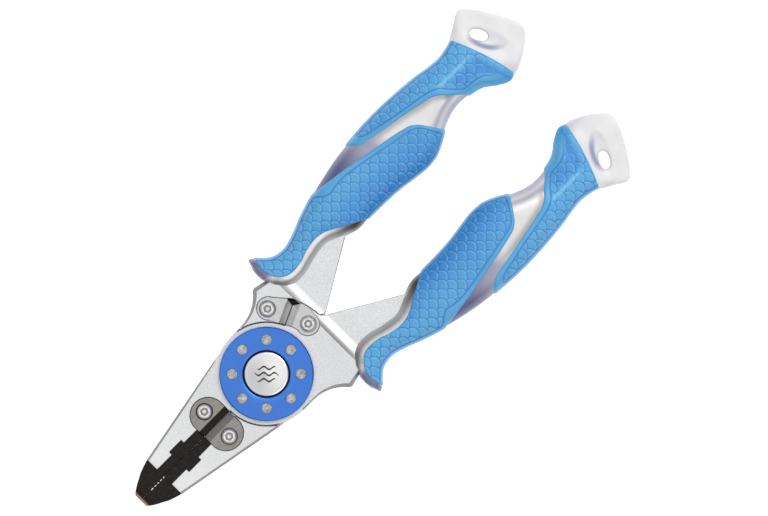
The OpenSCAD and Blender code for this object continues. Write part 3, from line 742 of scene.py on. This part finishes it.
def plain(name, colour, other, metal, rough, scale=600, depth=0.00002):
    p = Paint(name)
    n = p.noise(scale, 3)
    p.set(Base_Color=p.mix(p.span(n, 0.3, 0.7), colour, other), Metallic=metal,
          Roughness=p.span(n, 0.3, 0.7, rough, rough + 0.12), Normal=p.bump(n, depth, 0.4))
    return p.mat


def socket_steel():
    p = Paint("screw_steel_bright")
    n = p.noise(700, 3)
    base = p.mix(p.span(n, 0.3, 0.7), (0.66, 0.66, 0.67), (0.82, 0.82, 0.83))
    # painted shade: a grey ring at the step in the head, and darker round the foot of the socket,
    # with a bright turned centre
    out = p.math("SQRT", p.math("ADD", p.math("POWER", p.value("off_x"), 2.0),
                                p.math("POWER", p.value("off_y"), 2.0)))
    step = p.math("MULTIPLY", p.span(out, 1.62, 1.72), p.span(out, 1.85, 1.95, 1, 0))
    base = p.mix(p.math("MULTIPLY", step, 0.45), base, (0.30, 0.28, 0.25))
    low = p.span(p.xyz()[2], PIVOT[2] + 0.00493, PIVOT[2] + 0.0054, 1, 0)
    foot = p.math("MULTIPLY", p.span(out, 0.35, 0.75), low)
    base = p.mix(p.math("MULTIPLY", foot, 0.7), base, (0.11, 0.095, 0.08))
    p.set(Base_Color=base, Metallic=0.9,
          Roughness=p.mix(step, p.span(n, 0.3, 0.7, 0.24, 0.34), (0.6, 0.6, 0.6)),
          Normal=p.bump(n, 0.00002, 0.4))
    return p.mat


def blue_rubber():
    p = Paint("sleeve_blue_rubber")
    fine = p.noise(3500, 2, 0.6)
    cloud = p.noise(60, 3)
    base = p.mix(p.span(cloud, 0.3, 0.7), (0.055, 0.275, 0.530), (0.075, 0.315, 0.575))
    # painted shade: darker on the grip's inner side and in the thumb scoop
    base = p.mix(p.math("MULTIPLY", p.value("painted_inner_shade"), 0.80), base, (0.020, 0.180, 0.50))
    # painted highlight on the scales' raised rims and along the ridge
    base = p.mix(p.math("MULTIPLY", p.value("rim"), 0.42), base, (0.16, 0.46, 0.72))
    # painted shade in the grooves
    base = p.mix(p.math("MULTIPLY", p.value("groove"), 0.85), base, (0.012, 0.105, 0.40))
    p.set(Base_Color=base, Roughness=p.span(cloud, 0.3, 0.7, 0.34, 0.44),
          Normal=p.bump(fine, 0.00002, 0.35))
    p.bsdf.inputs["Specular IOR Level"].default_value = 0.45
    return p.mat


def grip_base():
    p = Paint("grip_base_silver_smoke")
    fine = p.noise(2500, 2)
    cloud = p.noise(90, 3)
    silver = p.mix(p.span(cloud, 0.3, 0.7), (0.50, 0.50, 0.50), (0.58, 0.58, 0.58))
    silver = p.mix(p.value("bright"), silver, (0.66, 0.655, 0.66))
    silver = p.mix(p.math("MULTIPLY", p.value("shade"), 0.9), silver, (0.055, 0.050, 0.046))
    smoke = p.mix(p.span(cloud, 0.3, 0.7), (0.27, 0.265, 0.35), (0.36, 0.35, 0.44))
    smoke = p.mix(p.value("deep"), smoke, (0.085, 0.090, 0.20))
    # painted highlight along the ridge by the inner edge
    smoke = p.mix(p.value("painted_ridge_highlight"), smoke, (0.62, 0.58, 0.61))
    base = p.mix(p.value("smoke"), silver, smoke)
    p.set(Base_Color=base, Metallic=p.span(p.value("smoke"), 0, 0.8, 0.85, 0.1),
          Roughness=p.span(cloud, 0.3, 0.7, 0.33, 0.40), Normal=p.bump(fine, 0.00001, 0.3))
    return p.mat


def frosted_tab():
    p = Paint("tab_frosted_clear")
    fine = p.noise(1800, 3)
    cloud = p.noise(110, 3)
    base = p.mix(p.span(cloud, 0.3, 0.7), (0.585, 0.585, 0.585), (0.65, 0.65, 0.65))
    # painted shade on the dish wall and the grip's blue seen through near the grip
    base = p.mix(p.value("tint"), base, (0.25, 0.26, 0.43))
    p.set(Base_Color=base, Roughness=p.span(cloud, 0.3, 0.7, 0.34, 0.44),
          Normal=p.bump(fine, 0.00002, 0.3))
    p.bsdf.inputs["Subsurface Weight"].default_value = 0.06
    p.bsdf.inputs["Subsurface Radius"].default_value = (0.004, 0.004, 0.0045)
    p.bsdf.inputs["Subsurface Scale"].default_value = 1.0
    return p.mat


def paint(ob, mat):
    ob.data.materials.clear()
    ob.data.materials.append(mat)
    for f in ob.data.polygons:
        f.material_index = 0


# ---------------------------------------------------------------- CAD nodes

MATS = {
    "lever_alloy": blasted_alloy(),
    "ring_blue": anodised_blue(),
    "bright_steel": turned_steel(),
    "plate_steel": brushed_plate(),
    "screw_steel": socket_steel(),
    "cutter_grey": ground_steel("cutter_grey_ground", (0.215, 0.205, 0.19), (0.31, 0.295, 0.28),
                                0.38, 0.3, (0.30, 0.29, 0.28), (0.020, 0.018, 0.015)),
    "cutter_light": ground_steel("cutter_light_ground", (0.47, 0.47, 0.475), (0.58, 0.58, 0.585),
                                 0.36, 0.4, (0.50, 0.50, 0.50), (0.85, 0.85, 0.86)),
    "tip_black": black_tip(),
    "bronze": plain("bronze_plain", (0.50, 0.33, 0.14), (0.62, 0.43, 0.20), 0.9, 0.4),
    "washer_plastic": plain("washer_plastic_black", (0.02, 0.02, 0.02), (0.04, 0.04, 0.04), 0.0, 0.5),
    "grip_base": grip_base(),
    "sleeve_blue": blue_rubber(),
    "tab_clear": frosted_tab(),
}
SLOT = {row["node"]: row["material_slot"] for row in frame["record"]["subparts"]}
BODY_OF = {node: body for body, nodes in frame["record"]["behaviour"]["bodies"].items()
           for node in nodes}
# parts closer than NEAR_LINE to the line where a pair meets are drawn to GAP from it
NEAR_LINE, GAP = 0.08, 0.003
# how wide each kind's edges are broken, in millimetres; the first kind that fits a name counts
FINE = {"lever": 0.16, "jaw_tip": 0.08, "front_cutter_screw": 0.08, "rear_cutter_screw": 0.08,
        "jaw_tip_screw": 0.08, "front_cutter": 0.10, "rear_cutter": 0.07, "front_ring": 0.10,
        "rear_ring": 0.10, "front_plate": 0.10, "rear_plate": 0.10,
        "pivot_bolt": 0.10, "pivot_nut": 0.10, "pivot_bushing": 0.10, "lap_washer": 0.03}


def turn_of(edge):
    """How far the surface turns at an edge, in degrees, above zero where it is convex."""
    return math.degrees(edge.calc_face_angle_signed(0)) if len(edge.link_faces) == 2 else 0


def rim_width(edge, side, fine):
    """How wide a lever's edge is broken, in millimetres: wider along the jaw and shoulder."""
    mid = (edge.verts[0].co + edge.verts[1].co) / 2
    x, y, z = [(c - p) / MM for c, p in zip(mid, PIVOT)]
    if side == "a":
        y, z = -y, -z
    flats = [abs(f.normal.z) for f in edge.link_faces]
    if max(flats) < 0.9 or min(flats) > 0.3 or abs(z) < 3.4:
        return fine
    if 9.5 < x < 45.4 and y < -7.0 and abs(y + 14.6 - (x - 8.7) * 0.1865) < 0.4:
        return 0.35 + 0.4 * min(1.0, (45.4 - x) / 8, (x - 9.5) / 6)
    if side == "a" and -47.5 < x < -28 and abs(y - 12.85 + (x + 48) * 0.5878) < 0.4:
        return 0.36
    # the shoulder's own rim faces outwards; the cutter's pocket beside it doesn't
    wall = min(edge.link_faces, key=lambda f: abs(f.normal.z)).normal.y
    if -22.6 < x < -0.2 and y > 15.6 and (-wall if side == "a" else wall) > 0:
        return 0.45 + 0.85 * min(1.0, max(0.0, (-4 - x) / 12))
    return fine


def break_edges(bm, width_of):
    """Every convex edge of about a right angle gets a flat chamfer: each face draws back from it."""
    widths = {}
    for e in bm.edges:
        if 45 < turn_of(e) < 110:
            widths[e] = width_of(e) * MM
    where, verts, faces, cuts = {}, [], [], []
    for v in bm.verts:
        links = list(v.link_faces)
        cut = [e for e in v.link_edges if e in widths]
        if len(cut) < 2:
            verts.append(v.co.copy())
            for f in links:
                where[v, f] = len(verts) - 1
            continue
        group = {f: f for f in links}

        def root(f):
            while group[f] is not f:
                f = group[f]
            return f
        for e in v.link_edges:
            if e not in widths:
                pair = list(e.link_faces)
                if len(pair) == 2:
                    group[root(pair[0])] = root(pair[1])
        for top in {root(f) for f in links}:
            rows, ends = [], []
            for f in links:
                if root(f) is top:
                    rows.append(list(f.normal))
                    ends.append(0.0)
            for e in cut:
                for f in e.link_faces:
                    if root(f) is top:
                        along = (e.verts[1].co - e.verts[0].co).normalized()
                        into = f.normal.cross(along)
                        if into.dot(f.calc_center_median() - v.co) < 0:
                            into = -into
                        rows.append(list(into))
                        ends.append(widths[e])
            # solve in millimetres, so that near-parallel faces stay stable
            move = np.linalg.lstsq(np.array(rows), np.array(ends) / MM, rcond=0.02)[0] * MM
            limit = 2.5 * max(widths[e] for e in cut)
            size = float(np.linalg.norm(move))
            if size > limit:
                move *= limit / size
            verts.append(v.co + Vector(move))
            for f in links:
                if root(f) is top:
                    where[v, f] = len(verts) - 1
    for f in bm.faces:
        faces.append([where[v, f] for v in f.verts])
        cuts.append(0.0)
    for e in widths:
        left, right = e.link_faces
        loop = next(l for l in left.loops if l.edge is e)
        a, b = loop.vert, loop.link_loop_next.vert
        quad = [where[b, left], where[a, left], where[a, right], where[b, right]]
        ring = [q for i, q in enumerate(quad) if q != quad[i - 1]]
        if len(set(ring)) >= 3:
            faces.append(ring)
            cuts.append(widths[e] / MM)
    for v in bm.verts:
        ring, f = [], v.link_faces[0] if v.link_faces else None
        seen = set()
        while f is not None and f not in seen:
            seen.add(f)
            if where[v, f] not in ring:
                ring.append(where[v, f])
            loop = next(l for l in f.loops if l.vert is v)
            f = next((g for g in loop.edge.link_faces if g is not f), None)
        if len(ring) >= 3:
            normal = (verts[ring[1]] - verts[ring[0]]).cross(verts[ring[2]] - verts[ring[0]])
            out = sum((g.normal for g in v.link_faces), Vector())
            faces.append(ring if normal.dot(out) > 0 else ring[::-1])
            cuts.append(max((widths[e] / MM for e in v.link_edges if e in widths), default=0.0))
    return verts, faces, cuts


def finished(node, fine):
    """A copy of a CAD node's mesh with its sharp edges broken, as its finished piece."""
    side = node[-1]
    bm = bmesh.new()
    bm.from_mesh(NODES[node].data)
    bmesh.ops.remove_doubles(bm, verts=bm.verts, dist=2e-6)
    bmesh.ops.dissolve_degenerate(bm, dist=1e-6, edges=bm.edges)
    # parts that meet are drawn up to their common line, so no light shows between them
    normal = {"jaw_tip": (0, 1), "front_cutter": (0, 1), "rear_cutter": (-0.4067, 0.9135)}
    across = normal.get(node[:-2])
    if across:
        for v in bm.verts:
            off = sum((v.co[i] - PIVOT[i]) * across[i] for i in (0, 1))
            if abs(off) < NEAR_LINE * MM and (across[0] == 0 or v.co.x < PIVOT[0]):
                for i in (0, 1):
                    v.co[i] += (math.copysign(GAP * MM, off) - off) * across[i]
    if node.startswith("jaw_tip_"):
        for v in bm.verts:
            x, y = ((v.co[i] - PIVOT[i]) / MM for i in (0, 1))
            if 45.7 < x < 53 and 0.1 < abs(y) < 0.62:
                # fine notches at the nose, with a thin line of light between the jaws
                v.co.y = PIVOT[1] + y * 0.5 * MM
            elif 36.7 < x < 45.7 and 0.25 < y < 0.62:
                # further back the teeth mesh: lever a's points reach into lever b's notches
                v.co.y = PIVOT[1] - (y - 0.006) * MM
    bm.normal_update()
    lever = node.startswith("lever")
    verts, faces, cuts = break_edges(bm, lambda e: rim_width(e, side, fine) if lever else fine)
    bm.free()
    me = bpy.data.meshes.new(f"{node}_finished")
    me.from_pydata(verts, [], faces)
    layer = me.attributes.new(name="chamfer", type="FLOAT", domain="FACE")
    layer.data.foreach_set("value", np.array(cuts, np.float32))
    lo, hi = (np.array(corner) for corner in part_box(node))
    spread = (np.array(verts) - (lo + hi) / 2)[:, :2] / MM
    for axis, name in enumerate(("off_x", "off_y")):
        layer = me.attributes.new(name=name, type="FLOAT", domain="POINT")
        layer.data.foreach_set("value", spread[:, axis].astype(np.float32))
    me.validate()
    bm = bmesh.new()
    bm.from_mesh(me)
    bmesh.ops.remove_doubles(bm, verts=bm.verts, dist=1e-6)
    bm.normal_update()
    for e in bm.edges:
        e.smooth = abs(turn_of(e)) < 28
    for f in bm.faces:
        f.smooth = True
    bm.to_mesh(me)
    bm.free()
    ob = bpy.data.objects.new(f"{node}_finished", me)
    bpy.context.scene.collection.objects.link(ob)
    paint(ob, MATS[SLOT[node]])
    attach(ob, BODY_OF[node])
    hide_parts(node)


def turned_piece(name, profile, count=160):
    """A closed ring of points turned about the pivot axis; radius and height in millimetres."""
    verts, faces = [], []
    t = np.linspace(0, 2 * math.pi, count, endpoint=False)
    for r, z in profile[1:-1]:
        verts += [(r * math.cos(a), r * math.sin(a), z) for a in t]
    rings = len(profile) - 2
    for i in range(rings - 1):
        for j in range(count):
            k = (j + 1) % count
            faces.append([i * count + j, (i + 1) * count + j, (i + 1) * count + k, i * count + k])
    top, foot = rings * count, rings * count + 1
    verts += [(0, 0, profile[0][1]), (0, 0, profile[-1][1])]
    last = (rings - 1) * count
    for j in range(count):
        k = (j + 1) % count
        faces.append([top, j, k])
        faces.append([foot, last + k, last + j])
    return make_mesh(name, verts, faces, "b")


def wave_marks(name):
    """Three small waves, thin raised strips on the cap: a plain motif in place of any mark."""
    verts, faces = [], []
    tilt = math.radians(45.4)
    for row, (half, mid) in enumerate(((2.9, 1.9), (3.9, 0.0), (2.9, -1.9))):
        n = 60
        for i in range(n + 1):
            u = -half + 2 * half * i / n
            w = 0.30 * math.sqrt(max(0.0, 1 - (abs(u) / half) ** 3)) + 0.02
            c = mid + 0.45 * math.sin(u * 1.9)
            for v, z in ((c - w, 7.39), (c - w * 0.7, 7.45), (c + w * 0.7, 7.45), (c + w, 7.39)):
                verts.append((v * math.sin(tilt) - u * math.cos(tilt),
                              v * math.cos(tilt) + u * math.sin(tilt), z))
        base = row * (n + 1) * 4
        for i in range(n):
            for k in range(3):
                a = base + i * 4 + k
                faces.append([a, a + 4, a + 5, a + 1])
            faces.append([base + i * 4 + 3, base + i * 4 + 7, base + i * 4 + 4, base + i * 4])
        faces.append([base, base + 1, base + 2, base + 3])
        e = base + n * 4
        faces.append([e + 3, e + 2, e + 1, e])
    ob = make_mesh(name, verts, faces, "b")
    bm = bmesh.new()
    bm.from_mesh(ob.data)
    bmesh.ops.recalc_face_normals(bm, faces=bm.faces)
    bm.to_mesh(ob.data)
    bm.free()
    return ob


cap = turned_piece("centre_cap_turned", [
    (0, 7.40), (1.5, 7.40), (4.0, 7.39), (5.8, 7.36), (6.5, 7.32), (6.75, 7.26), (6.90, 7.12),
    (6.95, 6.9), (6.95, 6.3), (6.9, 6.21), (6.0, 6.2), (3.0, 6.2), (0, 6.2)])
paint(cap, MATS["bright_steel"])
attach(cap, "lever_b_side")
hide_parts("centre_cap")
marks = wave_marks("centre_cap_waves")
paint(marks, plain("cap_marks_dark", (0.010, 0.010, 0.011), (0.022, 0.022, 0.024), 0.2, 0.4))
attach(marks, "lever_b_side")

for node in NODES:
    kind = next((k for k in FINE if node.startswith(k)), None)
    if kind:
        finished(node, FINE[kind])

# ---------------------------------------------------------------- soft pieces

GRID = dict(steps=500, fine=108, edge=12)
for side in "ab":
    for name, panel, groove, origin in (
            ("rear_sleeve", REAR_PANEL, REAR_GROOVE, (-106.05, 28.4)),
            ("front_sleeve", FRONT_PANEL, FRONT_GROOVE, (-75.3, 19.45))):
        ob = skin(f"{name}_skin_{side}", side, panel, groove, origin, **GRID)
        paint(ob, MATS["sleeve_blue"])
        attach(ob, BODY[side])
        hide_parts(f"{name}_{side}")
    ob = core(f"grip_core_shell_{side}", side)
    paint(ob, MATS["grip_base"])
    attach(ob, BODY[side])
    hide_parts(f"grip_core_{side}")
    ob = tab(f"end_tab_moulded_{side}", side)
    paint(ob, MATS["tab_clear"])
    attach(ob, BODY[side])
    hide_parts(f"end_tab_{side}")

# ---------------------------------------------------------------- stage, light, camera

bpy.ops.mesh.primitive_plane_add(size=4.0, location=(0, 0, -0.0002))
floor = bpy.context.object
floor.name = "floor"
fm = Paint("floor_pale")
fm.set(Base_Color=fm.mix(fm.span(fm.noise(3, 2), 0.3, 0.7), (0.93, 0.93, 0.93), (0.95, 0.95, 0.95)),
       Roughness=0.8)
fm.bsdf.inputs["Emission Color"].default_value = (1, 1, 1, 1)
fm.bsdf.inputs["Emission Strength"].default_value = 0.5
paint(floor, fm.mat)

# the picture's own right and up, on the table
ROLL = math.radians(134.81)
RIGHT = Vector((math.cos(ROLL), math.sin(ROLL), 0))
UP = Vector((-math.sin(ROLL), math.cos(ROLL), 0))
LOOK = Vector((PIVOT[0] - 0.05184, PIVOT[1] + 0.00050, PIVOT[2]))

# a soft studio: bright overhead, grey walls, and a little brighter to the picture's left
world = bpy.data.worlds.new("studio")
bpy.context.scene.world = world
world.use_nodes = True
wn = world.node_tree
wn.nodes.clear()
wo = wn.nodes.new("ShaderNodeOutputWorld")
bg = wn.nodes.new("ShaderNodeBackground")
way = wn.nodes.new("ShaderNodeTexCoord")
split = wn.nodes.new("ShaderNodeSeparateXYZ")
wn.links.new(way.outputs["Generated"], split.inputs[0])
ramp = wn.nodes.new("ShaderNodeValToRGB")
wn.links.new(split.outputs[2], ramp.inputs[0])
stops = ((0.0, 0.10), (0.25, 0.16), (0.50, 0.42), (0.72, 0.86), (0.90, 1.0), (1.0, 1.0))
for i, (at, grey) in enumerate(stops):
    stop = ramp.color_ramp.elements[i] if i < 2 else ramp.color_ramp.elements.new(at)
    stop.position = at
    stop.color = (grey, grey, grey, 1)
rightwards = wn.nodes.new("ShaderNodeVectorMath")
rightwards.operation = "DOT_PRODUCT"
wn.links.new(way.outputs["Generated"], rightwards.inputs[0])
rightwards.inputs[1].default_value = tuple(RIGHT)
lean = wn.nodes.new("ShaderNodeMath")
lean.operation = "MULTIPLY_ADD"
wn.links.new(rightwards.outputs["Value"], lean.inputs[0])
lean.inputs[1].default_value = -0.75
lean.inputs[2].default_value = 0.95
wn.links.new(ramp.outputs[0], bg.inputs[0])
wn.links.new(lean.outputs[0], bg.inputs[1])
wn.links.new(bg.outputs[0], wo.inputs[0])


def area(name, at, aim, size, watts):
    data = bpy.data.lights.new(name, "AREA")
    data.shape = "RECTANGLE"
    data.size, data.size_y = size
    data.energy = watts
    ob = bpy.data.objects.new(name, data)
    bpy.context.scene.collection.objects.link(ob)
    ob.location = at
    ob.rotation_euler = (Vector(aim) - Vector(at)).to_track_quat("-Z", "Y").to_euler()


area("key", LOOK + UP * 0.50 + RIGHT * 0.35 + Vector((0, 0, 0.70)), LOOK, (0.5, 0.5), 5)
area("fill", LOOK - UP * 0.6 + RIGHT * 0.5 + Vector((0, 0, 0.7)), LOOK, (0.8, 0.8), 3.2)

# a long lens from far off: the photo shows next to no perspective
LENS, SENSOR = 400, 36
# how much of the table the picture takes in from side to side, in metres
VIEW_WIDTH = 0.2417
cam_data = bpy.data.cameras.new("camera")
cam = bpy.data.objects.new("camera", cam_data)
bpy.context.scene.collection.objects.link(cam)
cam_data.sensor_width = SENSOR
cam_data.lens = LENS
cam.location = LOOK + Vector((0, 0, LENS / SENSOR * VIEW_WIDTH))
cam.rotation_euler = (0, 0, ROLL)
cam_data.clip_end = 10
bpy.context.scene.camera = cam
bpy.context.scene.view_settings.view_transform = "Standard"
